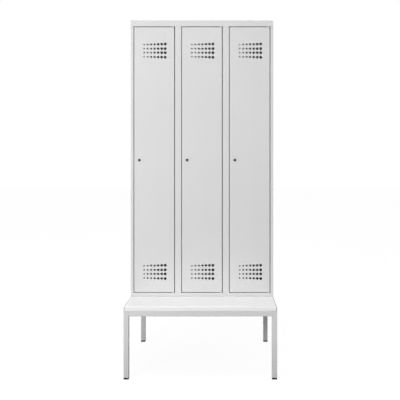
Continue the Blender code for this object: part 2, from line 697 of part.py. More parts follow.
def make_plug(name, place, key_axis):
    front = CLEARANCE + LOCK_HEAD_THICKNESS
    shoulder = -CAM_SETBACK + CLEARANCE
    tail = -CAM_SETBACK - CAM_THICKNESS - SPINDLE_TAIL
    profile = [(0.0, front), (PLUG_RADIUS, front), (PLUG_RADIUS, shoulder), (SPINDLE_RADIUS, shoulder),
               (SPINDLE_RADIUS, tail), (0.0, tail)]
    plug = turned(name, profile, False, LOCK_SIDES, NICKEL, place, ALONG_Y, key_axis)
    slot = block_bmesh((KEY_SLOT_WIDTH, 2 * KEY_SLOT_DEPTH, KEY_SLOT_HEIGHT))
    slot_place = (place[0], place[1] - front, place[2])
    cut_with(plug, add_cutter(name + "_slot", slot, slot_place, axis=key_axis))


def make_cam(name, place, key_axis):
    """Flat cam that hangs down while the door is unlocked and swings behind the stop when locked."""
    half = CAM_WIDTH / 2
    tip = -(CAM_REACH - half)
    outline = arc((0.0, 0.0), half, 0.0, math.pi, ARC_STEPS)
    outline += arc((0.0, tip), half, math.pi, math.tau, ARC_STEPS)
    hole = circle(SPINDLE_RADIUS + CLEARANCE, PIN_SIDES)
    y = place[1] + CAM_SETBACK + CAM_THICKNESS / 2
    flat_plate(name, [outline, hole], CAM_THICKNESS, ZINC, (place[0], y, place[2]), ALONG_Y, key_axis)


clear_scene()
PARTS = new_collection("locker_with_bench")
CUTTERS = new_collection("cutters")
make_legs()
make_rails()
make_seat()
make_side_panels()
make_top()
make_floor()
make_back()
make_mullions()
for compartment in range(len(COMPARTMENTS)):
    make_compartment(compartment)
    make_door(compartment)
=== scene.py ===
import math

import bmesh
import bpy
from mathutils import Matrix, Vector


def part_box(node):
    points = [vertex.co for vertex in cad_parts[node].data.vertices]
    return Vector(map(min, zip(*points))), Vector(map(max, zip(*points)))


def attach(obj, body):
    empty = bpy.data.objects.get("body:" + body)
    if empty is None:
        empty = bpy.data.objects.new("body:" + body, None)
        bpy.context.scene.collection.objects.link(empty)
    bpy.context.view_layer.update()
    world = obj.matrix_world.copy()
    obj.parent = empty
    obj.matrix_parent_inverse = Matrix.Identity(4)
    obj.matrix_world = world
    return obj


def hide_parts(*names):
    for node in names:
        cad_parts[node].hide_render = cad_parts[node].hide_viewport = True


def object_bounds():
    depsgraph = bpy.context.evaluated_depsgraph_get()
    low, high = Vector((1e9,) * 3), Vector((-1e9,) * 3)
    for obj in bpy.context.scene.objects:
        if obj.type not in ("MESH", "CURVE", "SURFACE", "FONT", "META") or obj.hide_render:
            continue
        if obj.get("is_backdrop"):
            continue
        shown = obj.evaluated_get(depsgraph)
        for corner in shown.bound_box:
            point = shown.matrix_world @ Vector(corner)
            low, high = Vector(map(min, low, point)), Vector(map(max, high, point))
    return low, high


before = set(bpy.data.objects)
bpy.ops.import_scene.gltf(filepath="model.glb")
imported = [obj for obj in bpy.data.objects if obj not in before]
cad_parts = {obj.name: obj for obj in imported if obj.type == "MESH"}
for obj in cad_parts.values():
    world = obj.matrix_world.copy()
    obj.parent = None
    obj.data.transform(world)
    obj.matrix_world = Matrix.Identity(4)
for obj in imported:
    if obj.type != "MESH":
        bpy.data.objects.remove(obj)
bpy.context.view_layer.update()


# Stand
# Legs and rails of square steel tube, 30 mm on a side, welded into one frame and powder-coated.
# The tube has rounded corners; its sawn ends close on the feet and on the sides of the legs.
TUBE_WALL = 0.0015
TUBE_CORNER = 0.0022
TUBE_CORNER_STEPS = 5
WELD_REACH = 0.0003
NEAR = 0.00005
ALIGNED = 0.99
SMOOTH_BELOW = math.radians(35)
COAT_DARK = 0.655
COAT_LIGHT = 0.675
COAT_ROUGH_LOW = 0.44
COAT_ROUGH_HIGH = 0.54
COAT_SPECULAR = 0.3
COAT_CLOUD_SCALE = 1.7
COAT_RUB_SCALE = 14
PEEL_SCALE = 900
PEEL_DEPTH = 0.00004
NOISE_MIDDLE = (0.3, 0.7)


def grey(value):
    return (value, value, value, 1.0)


def noise(material, scale, detail=2, stretch=(1, 1, 1)):
    """Noise over the object's own coordinates, stretched along chosen axes."""
    nodes, links = material.node_tree.nodes, material.node_tree.links
    place = nodes.new("ShaderNodeTexCoord")
    mapping = nodes.new("ShaderNodeMapping")
    mapping.inputs["Scale"].default_value = stretch
    pattern = nodes.new("ShaderNodeTexNoise")
    pattern.inputs["Scale"].default_value = scale
    pattern.inputs["Detail"].default_value = detail
    links.new(place.outputs["Object"], mapping.inputs["Vector"])
    links.new(mapping.outputs["Vector"], pattern.inputs["Vector"])
    return pattern.outputs["Fac"]


def spread(material, source, low, high):
    """Map the middle of a noise to the range from low to high."""
    ranged = material.node_tree.nodes.new("ShaderNodeMapRange")
    for socket, value in zip(("From Min", "From Max", "To Min", "To Max"), (*NOISE_MIDDLE, low, high)):
        ranged.inputs[socket].default_value = value
    material.node_tree.links.new(source, ranged.inputs["Value"])
    return ranged.outputs["Result"]


def relief(material, source, depth):
    """Bump of a real depth in metres."""
    bump = material.node_tree.nodes.new("ShaderNodeBump")
    bump.inputs["Distance"].default_value = depth
    material.node_tree.links.new(source, bump.inputs["Height"])
    return bump.outputs["Normal"]


def new_finish(name, metallic=0.0):
    """A material with its Principled shader, as (material, shader, links)."""
    material = bpy.data.materials.new(name)
    material.use_nodes = True
    shader = material.node_tree.nodes["Principled BSDF"]
    shader.inputs["Metallic"].default_value = metallic
    return material, shader, material.node_tree.links


def powder_coat():
    """Baked light-grey powder paint: satin, almost even, with fine orange peel."""
    material, shader, links = new_finish("light_grey_powder_coat")
    shader.inputs["Specular IOR Level"].default_value = COAT_SPECULAR
    cloud = noise(material, COAT_CLOUD_SCALE)
    links.new(spread(material, cloud, COAT_DARK, COAT_LIGHT), shader.inputs["Base Color"])
    rub = noise(material, COAT_RUB_SCALE, detail=3)
    links.new(spread(material, rub, COAT_ROUGH_LOW, COAT_ROUGH_HIGH), shader.inputs["Roughness"])
    peel = noise(material, PEEL_SCALE)
    links.new(relief(material, peel, PEEL_DEPTH), shader.inputs["Normal"])
    return material


def start_block(name, low, high):
    """Begin a piece as a cube that fills a box, in edit mode with nothing selected."""
    bpy.ops.object.select_all(action="DESELECT")
    bpy.ops.mesh.primitive_cube_add(size=1, location=(low + high) / 2, scale=high - low)
    return open_piece(name)


def open_piece(name):
    """Name the new primitive, put its place into its mesh and enter edit mode."""
    piece = bpy.context.object
    piece.name = piece.data.name = name
    bpy.ops.object.transform_apply(location=True, rotation=True, scale=True)
    bpy.ops.object.mode_set(mode="EDIT")
    bpy.ops.mesh.select_mode(type="VERT")
    bpy.ops.mesh.select_all(action="DESELECT")
    return piece


def pick(kind, test):
    """Select just the verts, edges or faces of the open mesh that pass a test."""
    bpy.ops.mesh.select_mode(type=kind)
    bpy.ops.mesh.select_all(action="DESELECT")
    mesh = bmesh.from_edit_mesh(bpy.context.object.data)
    mesh.normal_update()
    items = {"VERT": mesh.verts, "EDGE": mesh.edges, "FACE": mesh.faces}[kind]
    for item in items:
        if test(item):
            item.select_set(True)
    mesh.select_flush_mode()
    bmesh.update_edit_mesh(bpy.context.object.data)


def runs_along(edge, axis):
    """True if an edge runs along world axis 0, 1 or 2."""
    across = edge.verts[0].co - edge.verts[1].co
    return abs(across[axis]) > ALIGNED * across.length


def lies_at(item, axis, place):
    """True if an edge or face lies in the plane at a place on world axis 0, 1 or 2."""
    return all(abs(vert.co[axis] - place) < NEAR for vert in item.verts)


def apply_modifier(piece, kind, **settings):
    modifier = piece.modifiers.new(kind.lower(), kind)
    for name, value in settings.items():
        setattr(modifier, name, value)
    bpy.context.view_layer.objects.active = piece
    bpy.ops.object.modifier_apply(modifier=modifier.name)


def close_piece(piece, material):
    """Leave edit mode, shade folds and rounds smooth but flats flat, and paint."""
    if bpy.context.mode != "OBJECT":
        bpy.ops.object.mode_set(mode="OBJECT")
    bpy.ops.object.select_all(action="DESELECT")
    piece.select_set(True)
    bpy.context.view_layer.objects.active = piece
    bpy.ops.object.shade_smooth_by_angle(angle=SMOOTH_BELOW)
    apply_modifier(piece, "WEIGHTED_NORMAL", keep_sharp=True)
    piece.data.materials.clear()
    piece.data.materials.append(material)


def square_tube(name, node, axis, reach=0.0):
    """Tube that fills its CAD node's box, open at both ends, and reaches a little past each."""
    past_end = Vector((0, 0, 0))
    past_end[axis] = reach
    low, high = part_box(node)
    tube = start_block(name, low - past_end, high + past_end)
    pick("FACE", lambda face: abs(face.normal[axis]) > ALIGNED)
    bpy.ops.mesh.delete(type="FACE")
    pick("EDGE", lambda edge: runs_along(edge, axis))
    bpy.ops.mesh.bevel(offset=TUBE_CORNER, segments=TUBE_CORNER_STEPS, affect="EDGES")
    bpy.ops.object.mode_set(mode="OBJECT")
    apply_modifier(tube, "SOLIDIFY", thickness=TUBE_WALL, offset=-1, use_even_offset=True)
    close_piece(tube, COAT)
    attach(tube, "cabinet")
    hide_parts(node)


COAT = powder_coat()
square_tube("front_leg_left", "leg_front_left", 2)
square_tube("front_leg_right", "leg_front_right", 2)
square_tube("rear_leg_left", "leg_rear_left", 2)
square_tube("rear_leg_right", "leg_rear_right", 2)
square_tube("seat_front_rail", "front_rail", 0, WELD_REACH)
square_tube("cabinet_front_rail", "cross_rail", 0, WELD_REACH)
square_tube("cabinet_rear_rail", "rear_rail", 0, WELD_REACH)
square_tube("stand_side_rail_left", "side_rail_left", 1, WELD_REACH)
square_tube("stand_side_rail_right", "side_rail_right", 1, WELD_REACH)


# Weld beads
# Fillet welds close the inside corners of the stand: under the rails where they meet the legs, and
# beside the cross rail. Each is a row of ripples; joints on flush faces were ground flat.
BEAD_RADIUS = 0.0022
BEAD_WAIST = 0.0019
BEAD_TIP = 0.0009
BEAD_SIDES = 12
BEAD_RIPPLES = 10
TURN_TO_AXIS = ((0, math.pi / 2, 0), (math.pi / 2, 0, 0), (0, 0, 0))


def turned(name, axis, rings, sides, hollow=False):
    """A circle carried along world axis 0, 1 or 2 through rings of (radius, place), then closed."""
    bpy.ops.object.select_all(action="DESELECT")
    radius, place = rings[0]
    bpy.ops.mesh.primitive_circle_add(vertices=sides, radius=radius, location=place,
                                      rotation=TURN_TO_AXIS[axis],
                                      fill_type="NOTHING" if hollow else "NGON")
    piece = open_piece(name)
    bpy.ops.mesh.select_all(action="SELECT")
    for (radius, place), (next_radius, next_place) in zip(rings, rings[1:]):
        bpy.ops.mesh.extrude_region_move(TRANSFORM_OT_translate={"value": next_place - place})
        growth = next_radius / radius
        bpy.ops.transform.resize(value=(growth, growth, growth), center_override=next_place)
    if hollow:
        pick("EDGE", lambda edge: edge.is_boundary)
        bpy.ops.mesh.bridge_edge_loops()
    bpy.ops.mesh.select_all(action="SELECT")
    bpy.ops.mesh.normals_make_consistent(inside=False)
    bpy.ops.object.mode_set(mode="OBJECT")
    return piece


def join(name, parts):
    """One piece of several closed meshes."""
    bpy.ops.object.select_all(action="DESELECT")
    for part in parts:
        part.select_set(True)
    bpy.context.view_layer.objects.active = parts[0]
    if len(parts) > 1:
        bpy.ops.object.join()
    parts[0].name = parts[0].data.name = name
    return parts[0]


def weld_bead(axis, start, end):
    """Rippled bead from one point to another along a world axis."""
    step = (end - start) / (2 * BEAD_RIPPLES)
    rings = [(BEAD_TIP, start)]
    for ripple in range(BEAD_RIPPLES):
        rings.append((BEAD_RADIUS, start + step * (2 * ripple + 1)))
        rings.append((BEAD_WAIST, start + step * (2 * ripple + 2)))
    rings[-1] = (BEAD_TIP, end)
    return turned("bead", axis, rings, BEAD_SIDES)


beads = []
for rail, axis, across in (("front_rail", 0, 1), ("rear_rail", 0, 1),
                           ("side_rail_left", 1, 0), ("side_rail_right", 1, 0)):
    low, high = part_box(rail)
    for end in (low[axis], high[axis]):
        start, finish = low.copy(), low.copy()
        start[axis] = finish[axis] = end
        start[across] = low[across] + TUBE_CORNER
        finish[across] = high[across] - TUBE_CORNER
        beads.append(weld_bead(across, start, finish))
low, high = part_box("cross_rail")
for x in (low.x, high.x):
    for y in (low.y, high.y):
        start, finish = Vector((x, y, low.z + TUBE_CORNER)), Vector((x, y, high.z - TUBE_CORNER))
        beads.append(weld_bead(2, start, finish))
welds = join("stand_weld_beads", beads)
close_piece(welds, COAT)
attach(welds, "cabinet")


# Feet
# Black plastic glides: a square head under each leg, chamfered at the floor, and a ribbed plug
# that is pushed into the open end of the tube and grips it.
FOOT_HEAD = 0.010
FOOT_CHAMFER = 0.0009
FOOT_SHOULDER = 0.0004
PLUG_INSET = 0.0014
PLUG_RIBS = 4
PLUG_GROOVE_SHARE = 0.93
PLASTIC_DARK = 0.010
PLASTIC_LIGHT = 0.016
PLASTIC_ROUGHNESS = (0.42, 0.55)
PLASTIC_CLOUD = 60
PLASTIC_SPECULAR = 0.25
PLASTIC_GRAIN = 2600
PLASTIC_GRAIN_DEPTH = 0.00005


def black_plastic():
    """Moulded black plastic with a fine spark-eroded grain, slightly shiny."""
    material, shader, links = new_finish("moulded_black_plastic")
    shader.inputs["Specular IOR Level"].default_value = PLASTIC_SPECULAR
    cloud = noise(material, PLASTIC_CLOUD)
    links.new(spread(material, cloud, PLASTIC_DARK, PLASTIC_LIGHT), shader.inputs["Base Color"])
    links.new(spread(material, cloud, *PLASTIC_ROUGHNESS), shader.inputs["Roughness"])
    grain = noise(material, PLASTIC_GRAIN)
    links.new(relief(material, grain, PLASTIC_GRAIN_DEPTH), shader.inputs["Normal"])
    return material


def copy_piece(piece, name, shift):
    """A copy with its own mesh, moved within that mesh."""
    copy = piece.copy()
    copy.data = piece.data.copy()
    copy.name = copy.data.name = name
    copy.data.transform(Matrix.Translation(shift))
    bpy.context.collection.objects.link(copy)
    return copy


low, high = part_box("foot_front_left")
head_top = low.z + FOOT_HEAD
first_foot = start_block("front_left_foot", low, Vector((high.x, high.y, head_top)))
pick("EDGE", lambda edge: runs_along(edge, 2))
bpy.ops.mesh.bevel(offset=TUBE_CORNER, segments=TUBE_CORNER_STEPS, affect="EDGES")
pick("EDGE", lambda edge: lies_at(edge, 2, low.z))
bpy.ops.mesh.bevel(offset=FOOT_CHAMFER, segments=2, affect="EDGES")
pick("EDGE", lambda edge: lies_at(edge, 2, head_top))
bpy.ops.mesh.bevel(offset=FOOT_SHOULDER, segments=2, affect="EDGES")
pick("FACE", lambda face: lies_at(face, 2, head_top))
bpy.ops.mesh.inset(thickness=PLUG_INSET, use_even_offset=True)
rib_step = Vector((0, 0, (high.z - head_top) / (2 * PLUG_RIBS)))
for growth in (PLUG_GROOVE_SHARE, 1 / PLUG_GROOVE_SHARE) * PLUG_RIBS:
    bpy.ops.mesh.extrude_region_move(TRANSFORM_OT_translate={"value": (0, 0, 0)})
    bpy.ops.transform.resize(value=(growth, growth, 1), center_override=(low + high) / 2)
    bpy.ops.mesh.extrude_region_move(TRANSFORM_OT_translate={"value": rib_step})
close_piece(first_foot, black_plastic())
feet = {"front_left": first_foot}
for place in ("front_right", "rear_left", "rear_right"):
    feet[place] = copy_piece(first_foot, f"{place}_foot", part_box(f"foot_{place}")[0] - low)
for place, foot in feet.items():
    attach(foot, "cabinet")
    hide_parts(f"foot_{place}")


# Seat board
# Pressed board faced with pale laminate that wraps its long edges. Each end is a darker grey strip,
# painted shade where the rounded end turns from the light. It lies flush on the stand in front of the
# doors and is screwed to it from below.
SEAT_EDGE = 0.005
SEAT_EDGE_STEPS = 6
SEAT_LOWER_EDGE = 0.0008
SEAT_REAR_GAP = 0.004
# The end strips' darker grey is painted shade on the seat's rounded ends.
SHADED_END_STRIP = 0.007
SHADED_END_STRIP_DARK = 0.55
SHADED_END_STRIP_LIGHT = 0.58
SHADED_END_STRIP_ROUGHNESS = (0.48, 0.54)
LAMINATE_DARK = 0.86
LAMINATE_LIGHT = 0.90
LAMINATE_ROUGHNESS = (0.42, 0.50)
LAMINATE_GRAIN = (0.5, 70, 70)
LAMINATE_PEARL = 1400
LAMINATE_PEARL_DEPTH = 0.00003


def laminate():
    """Pale grey laminate with faint streaks along the board and a fine pearl."""
    material, shader, links = new_finish("pale_laminate")
    shader.inputs["Specular IOR Level"].default_value = COAT_SPECULAR
    streaks = noise(material, scale=1, detail=4, stretch=LAMINATE_GRAIN)
    links.new(spread(material, streaks, LAMINATE_DARK, LAMINATE_LIGHT), shader.inputs["Base Color"])
    links.new(spread(material, streaks, *LAMINATE_ROUGHNESS), shader.inputs["Roughness"])
    pearl = noise(material, LAMINATE_PEARL)
    links.new(relief(material, pearl, LAMINATE_PEARL_DEPTH), shader.inputs["Normal"])
    return material


def painted_shade_strip_finish():
    """Darker grey for the seat's ends, painted shade, with a fine pearl."""
    material, shader, links = new_finish("painted_shade_end_strip")
    shader.inputs["Specular IOR Level"].default_value = COAT_SPECULAR
    pearl = noise(material, LAMINATE_PEARL)
    links.new(spread(material, pearl, SHADED_END_STRIP_DARK, SHADED_END_STRIP_LIGHT), shader.inputs["Base Color"])
    links.new(spread(material, pearl, *SHADED_END_STRIP_ROUGHNESS), shader.inputs["Roughness"])
    return material


seat_low, seat_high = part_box("seat_board")
seat_high.y -= SEAT_REAR_GAP
board_left, board_right = seat_low.x + SHADED_END_STRIP, seat_high.x - SHADED_END_STRIP


def in_shaded_strip_joint(edge):
    """True if an edge lies where a darker end strip of painted shade meets the board."""
    return lies_at(edge, 0, board_left) or lies_at(edge, 0, board_right)


def seat_stretch(name, left, right):
    """Seat from left to right, rounded but for its joints, and nearly crisp underneath."""
    piece = start_block(name, Vector((left, *seat_low.yz)), Vector((right, *seat_high.yz)))
    pick("EDGE", lambda edge: not in_shaded_strip_joint(edge) and not lies_at(edge, 2, seat_low.z))
    bpy.ops.mesh.bevel(offset=SEAT_EDGE, segments=SEAT_EDGE_STEPS, affect="EDGES")
    pick("EDGE", lambda edge: not in_shaded_strip_joint(edge) and lies_at(edge, 2, seat_low.z))
    bpy.ops.mesh.bevel(offset=SEAT_LOWER_EDGE, segments=2, affect="EDGES")
    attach(piece, "cabinet")
    return piece


seat = seat_stretch("bench_seat", board_left, board_right)
close_piece(seat, laminate())
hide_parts("seat_board")
# The end strips take a darker grey: painted shade on the seat's rounded ends.
plastic = painted_shade_strip_finish()
close_piece(seat_stretch("seat_painted_shade_end_left", seat_low.x, board_left), plastic)
close_piece(seat_stretch("seat_painted_shade_end_right", board_right, seat_high.x), plastic)


# Side panels
# Steel sheets, 1 mm thick, folded at the front into the stiles and at the rear into a flange for the
# back. The left stile folds on into the lip that stops the first door.
SHEET = 0.001
FOLD_RADIUS = 0.0015
FOLD_STEPS = 5
STILE_WIDTH = 0.0175
STOP_DEPTH = 0.0203
STOP_LIP = 0.008
HINGE_RETURN = 0.018
REAR_FLANGE = 0.012
GAP = 0.0003
OVERRUN = 0.002


def fold_sheet(name, corners, run):
    """Sheet folded at a line of corners and as long as run, with its wall on the line's left."""
    first, second = corners[:2]
    bpy.ops.object.select_all(action="DESELECT")
    bpy.ops.mesh.primitive_plane_add(size=1)
    sheet = open_piece(name)
    mesh = bmesh.from_edit_mesh(sheet.data)
    for vert, place in zip(mesh.verts, (first, second, first + run, second + run)):
        vert.co = place
    bmesh.update_edit_mesh(sheet.data)
    pick("EDGE", lambda edge: all((vert.co - second).cross(run).length < NEAR * run.length
                                  for vert in edge.verts))
    for corner, next_corner in zip(corners[1:], corners[2:]):
        bpy.ops.mesh.extrude_region_move(TRANSFORM_OT_translate={"value": next_corner - corner})
    pick("EDGE", lambda edge: not edge.is_boundary)
    bpy.ops.mesh.bevel(offset=FOLD_RADIUS, segments=FOLD_STEPS, affect="EDGES")
    bpy.ops.object.mode_set(mode="OBJECT")
    apply_modifier(sheet, "SOLIDIFY", thickness=SHEET, offset=-1, use_even_offset=True)
    return sheet


def subtract(piece, cutter):
    """Cut one closed mesh out of another and remove the cutter."""
    apply_modifier(piece, "BOOLEAN", object=cutter, operation="DIFFERENCE")
    bpy.data.objects.remove(cutter)


def trim(piece, *boxes):
    """Cut boxes, each given by two opposite corners, out of a sheet."""
    for corner, opposite in boxes:
        low = Vector(map(min, corner, opposite))
        high = Vector(map(max, corner, opposite))
        cutter = start_block("cutter", low, high)
        bpy.ops.object.mode_set(mode="OBJECT")
        subtract(piece, cutter)


side_low, side_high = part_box("side_panel_left")
side = -side_low.x
stile_edge = side - STILE_WIDTH
face_y = side_low.y
back_inside = side_high.y
cabinet_bottom = side_low.z
mullion_low, mullion_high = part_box("mullion_left_middle")
opening_bottom = mullion_low.z - GAP
opening_top = mullion_high.z + GAP
upright = Vector((0, 0, side_high.z - side_low.z))
behind_rail = face_y + FOLD_RADIUS + GAP
behind_stop = face_y + STOP_DEPTH + SHEET + OVERRUN


def standing(points):
    """Corners at the foot of the cabinet from points in plan."""
    return [Vector((x, y, cabinet_bottom)) for x, y in points]


def end_under_rail(panel, turn):
    """Stop a stile below the top rail and let the sheet run on behind the rail."""
    inner = stile_edge - STOP_LIP - OVERRUN
    low_z, high_z = opening_top - GAP, side_high.z + OVERRUN
    trim(panel,
         ((turn * inner, face_y - OVERRUN, low_z), (turn * (side + OVERRUN), behind_rail, high_z)),
         ((turn * inner, face_y, low_z), (turn * (side - STILE_WIDTH / 2), behind_stop, high_z)))


left_side = fold_sheet("left_side_panel", standing([
    (-side + REAR_FLANGE, back_inside), (-side, back_inside), (-side, face_y), (-stile_edge, face_y),
    (-stile_edge, face_y + STOP_DEPTH), (-stile_edge + STOP_LIP, face_y + STOP_DEPTH)]), upright)
end_under_rail(left_side, -1)
trim(left_side, ((-stile_edge - SHEET - OVERRUN, face_y + HINGE_RETURN, cabinet_bottom - OVERRUN),
                 (-stile_edge + STOP_LIP + OVERRUN, behind_stop, opening_bottom + GAP)))
right_side = fold_sheet("right_side_panel", standing([
    (stile_edge, face_y + HINGE_RETURN), (stile_edge, face_y), (side, face_y), (side, back_inside),
    (side - REAR_FLANGE, back_inside)]), upright)
end_under_rail(right_side, 1)
for panel, node in ((left_side, "side_panel_left"), (right_side, "side_panel_right")):
    close_piece(panel, COAT)
    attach(panel, "cabinet")
    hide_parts(node)


# Top and floor
# Each is one sheet folded at the front into a rail of the door frame. The top laps over the side
# panels; the floor is notched round the stiles. Both are spot-welded to the sides and the back.
SILL_RETURN = 0.025
PIN_HOLE = 0.0033
PIN_HOLE_SIDES = 24
BAYS = ("left", "middle", "right")


def pin_axis(bay, height):
    """Point on a door's hinge line."""
    low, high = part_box(f"hinge_pin_{bay}_top")
    return Vector(((low.x + high.x) / 2, (low.y + high.y) / 2, height))


def drill_pin_holes(sheet, height, bays=BAYS):
    """Holes for the hinge pins through a level sheet."""
    holes = []
    for bay in bays:
        rings = [(PIN_HOLE, pin_axis(bay, height + reach)) for reach in (-OVERRUN, OVERRUN)]
        holes.append(turned("hole", 2, rings, PIN_HOLE_SIDES))
    subtract(sheet, join("holes", holes))


top_low, top_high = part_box("top_panel")
top_rear = top_high.y
across_cabinet = Vector((2 * side, 0, 0))
top = fold_sheet("cabinet_top", [Vector((-side, y, z)) for y, z in (
    (top_rear, top_high.z - REAR_FLANGE), (top_rear, top_high.z), (face_y, top_high.z),
    (face_y, opening_top), (face_y + SILL_RETURN, opening_top))], across_cabinet)
drill_pin_holes(top, opening_top + SHEET / 2)
for turn in (-1, 1):
    trim(top, ((turn * (side - SHEET - GAP), face_y + FOLD_RADIUS, opening_top - OVERRUN),
               (turn * (side + OVERRUN), top_rear + OVERRUN, top_high.z - SHEET - GAP / 2)))

floor_low, floor_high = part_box("floor_panel")
floor_rear = floor_high.y
across_floor = Vector((floor_high.x - floor_low.x, 0, 0))
bottom = fold_sheet("cabinet_floor", [Vector((floor_low.x, y, z)) for y, z in (
    (floor_rear, cabinet_bottom), (floor_rear, opening_bottom), (face_y, opening_bottom),
    (face_y, cabinet_bottom), (face_y + SILL_RETURN, cabinet_bottom))], across_floor)
drill_pin_holes(bottom, opening_bottom - SHEET / 2)
for turn in (-1, 1):
    trim(bottom, ((turn * (stile_edge - GAP), face_y - OVERRUN, cabinet_bottom - OVERRUN),
                  (turn * side, face_y + HINGE_RETURN + GAP, opening_bottom + OVERRUN)))
for panel, node in ((top, "top_panel"), (bottom, "floor_panel")):
    close_piece(panel, COAT)
    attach(panel, "cabinet")
    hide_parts(node)


# Back
# One flat sheet laid against the flanges of the sides, top and floor. The electrodes left rows of
# shallow round dimples where it was spot-welded to them.
SPOT_RADIUS = 0.003
SPOT_DEPTH = 0.00018
SPOT_SIDES = 16
SPOT_INSET = 0.006
BACK_SPOTS_UP = 15
BACK_SPOTS_ACROSS = 8
SHEET_EDGE = 0.0002


def press_spots(panel, axis, places):
    """Press shallow round dimples into a face that looks along a world axis."""
    scale = Vector((1, 1, 1))
    scale[axis] = SPOT_DEPTH / SPOT_RADIUS
    balls = []
    for place in places:
        bpy.ops.object.select_all(action="DESELECT")
        bpy.ops.mesh.primitive_uv_sphere_add(segments=SPOT_SIDES, ring_count=SPOT_SIDES // 2,
                                             radius=SPOT_RADIUS, location=place, scale=scale)
        balls.append(open_piece("ball"))
        bpy.ops.object.mode_set(mode="OBJECT")
    subtract(panel, join("balls", balls))


def evenly(low, high, count):
    """Places spread evenly from low to high, both ends included."""
    return [low + (high - low) * i / (count - 1) for i in range(count)]


low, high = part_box("back_panel")
back = start_block("cabinet_back", low, high)
pick("EDGE", lambda edge: not runs_along(edge, 1))
bpy.ops.mesh.bevel(offset=SHEET_EDGE, segments=1, affect="EDGES")
bpy.ops.object.mode_set(mode="OBJECT")
heights = evenly(low.z + SPOT_INSET, high.z - SPOT_INSET, BACK_SPOTS_UP)
breadths = evenly(low.x + SPOT_INSET, high.x - SPOT_INSET, BACK_SPOTS_ACROSS)[1:-1]
spots = [Vector((x, high.y, z)) for x in (low.x + SPOT_INSET, high.x - SPOT_INSET) for z in heights]
spots += [Vector((x, high.y, z)) for z in (heights[0], heights[-1]) for x in breadths]
press_spots(back, 1, spots)
close_piece(back, COAT)
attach(back, "cabinet")
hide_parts("back_panel")


# Mullions and partitions
# Between the doors stands a folded mullion: its left return carries the hinge side of one door, its
# right one the stop lip of the next. A flat sheet behind it parts the compartments.
half = (mullion_high.x - mullion_low.x - STOP_LIP) / 2
post = Vector((0, 0, mullion_high.z - mullion_low.z))
centre = mullion_low + Vector((half, 0, 0))
first_mullion = fold_sheet("mullion_left", [centre + Vector((x, y, 0)) for x, y in (
    (-half, HINGE_RETURN), (-half, 0), (half, 0), (half, STOP_DEPTH),
    (half + STOP_LIP, STOP_DEPTH))], post)
close_piece(first_mullion, COAT)
second_mullion = copy_piece(first_mullion, "mullion_right",
                            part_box("mullion_middle_right")[0] - mullion_low)

low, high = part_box("partition_left_middle")
first_partition = start_block("compartment_wall_left", low, high)
bpy.ops.object.mode_set(mode="OBJECT")
trim(first_partition,
     ((low.x - OVERRUN, low.y - OVERRUN, opening_top - GAP),
      (high.x + OVERRUN, face_y + SILL_RETURN + GAP, high.z + OVERRUN)),
     ((low.x - OVERRUN, high.y - SHEET, top_high.z - REAR_FLANGE - GAP),
      (high.x + OVERRUN, high.y + OVERRUN, high.z + OVERRUN)))
close_piece(first_partition, COAT)
second_partition = copy_piece(first_partition, "compartment_wall_right",
                              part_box("partition_middle_right")[0] - low)
for piece, node in ((first_mullion, "mullion_left_middle"), (second_mullion, "mullion_middle_right"),
                    (first_partition, "partition_left_middle"),
                    (second_partition, "partition_middle_right")):
    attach(piece, "cabinet")
    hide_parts(node)


# Hat shelves
# A shelf near the top of each compartment, folded down at the rear and into a closed lip in front,
# spot-welded to the walls.
SHELF_LIP_RETURN = 0.010

for bay in BAYS:
    low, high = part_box(f"hat_shelf_{bay}")
    shelf = fold_sheet(f"{bay}_hat_shelf", [Vector((low.x, y, z)) for y, z in (
        (high.y, low.z), (high.y, high.z), (low.y, high.z), (low.y, low.z),
        (low.y + SHELF_LIP_RETURN, low.z))], Vector((high.x - low.x, 0, 0)))
    close_piece(shelf, COAT)
    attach(shelf, "cabinet")
    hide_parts(f"hat_shelf_{bay}")


# Coat rails
# Zinc-plated steel tube under each shelf, with a round plate at each end that is welded to the
# compartment's walls.
COAT_RAIL_RADIUS = 0.008
COAT_RAIL_BORE = 0.0065
END_PLATE_THICKNESS = 0.002
END_PLATE_EDGE = 0.0004
COAT_RAIL_SIDES = 48
ZINC_DARK = 0.50
ZINC_LIGHT = 0.60
ZINC_BLUE_SHARE = 1.04
ZINC_ROUGHNESS = (0.26, 0.42)
ZINC_CLOUD = 45
ZINC_STREAK = 30
ZINC_STREAK_STRETCH = (1, 40, 40)
METAL_GRAIN_DEPTH = 0.00002


def bright_zinc():
    """Bright zinc plating: cool, softly shining, with faint drawn streaks and clouds."""
    material, shader, links = new_finish("bright_zinc", metallic=1.0)
    cloud = noise(material, ZINC_CLOUD, detail=3)
    ramp = material.node_tree.nodes.new("ShaderNodeValToRGB")
    for stop, place, tone in zip(ramp.color_ramp.elements, NOISE_MIDDLE, (ZINC_DARK, ZINC_LIGHT)):
        stop.position = place
        stop.color = (tone, tone, tone * ZINC_BLUE_SHARE, 1)
    links.new(cloud, ramp.inputs["Fac"])
    links.new(ramp.outputs["Color"], shader.inputs["Base Color"])
    streaks = noise(material, ZINC_STREAK, detail=3, stretch=ZINC_STREAK_STRETCH)
    links.new(spread(material, streaks, *ZINC_ROUGHNESS), shader.inputs["Roughness"])
    links.new(relief(material, streaks, METAL_GRAIN_DEPTH), shader.inputs["Normal"])
    return material


def rounded_plate(radius, first, last, edge):
    """Sections of a round plate between two places, with its rims rounded off."""
    return [(radius - edge, first), (radius, first + edge), (radius, last - edge),
            (radius - edge, last)]


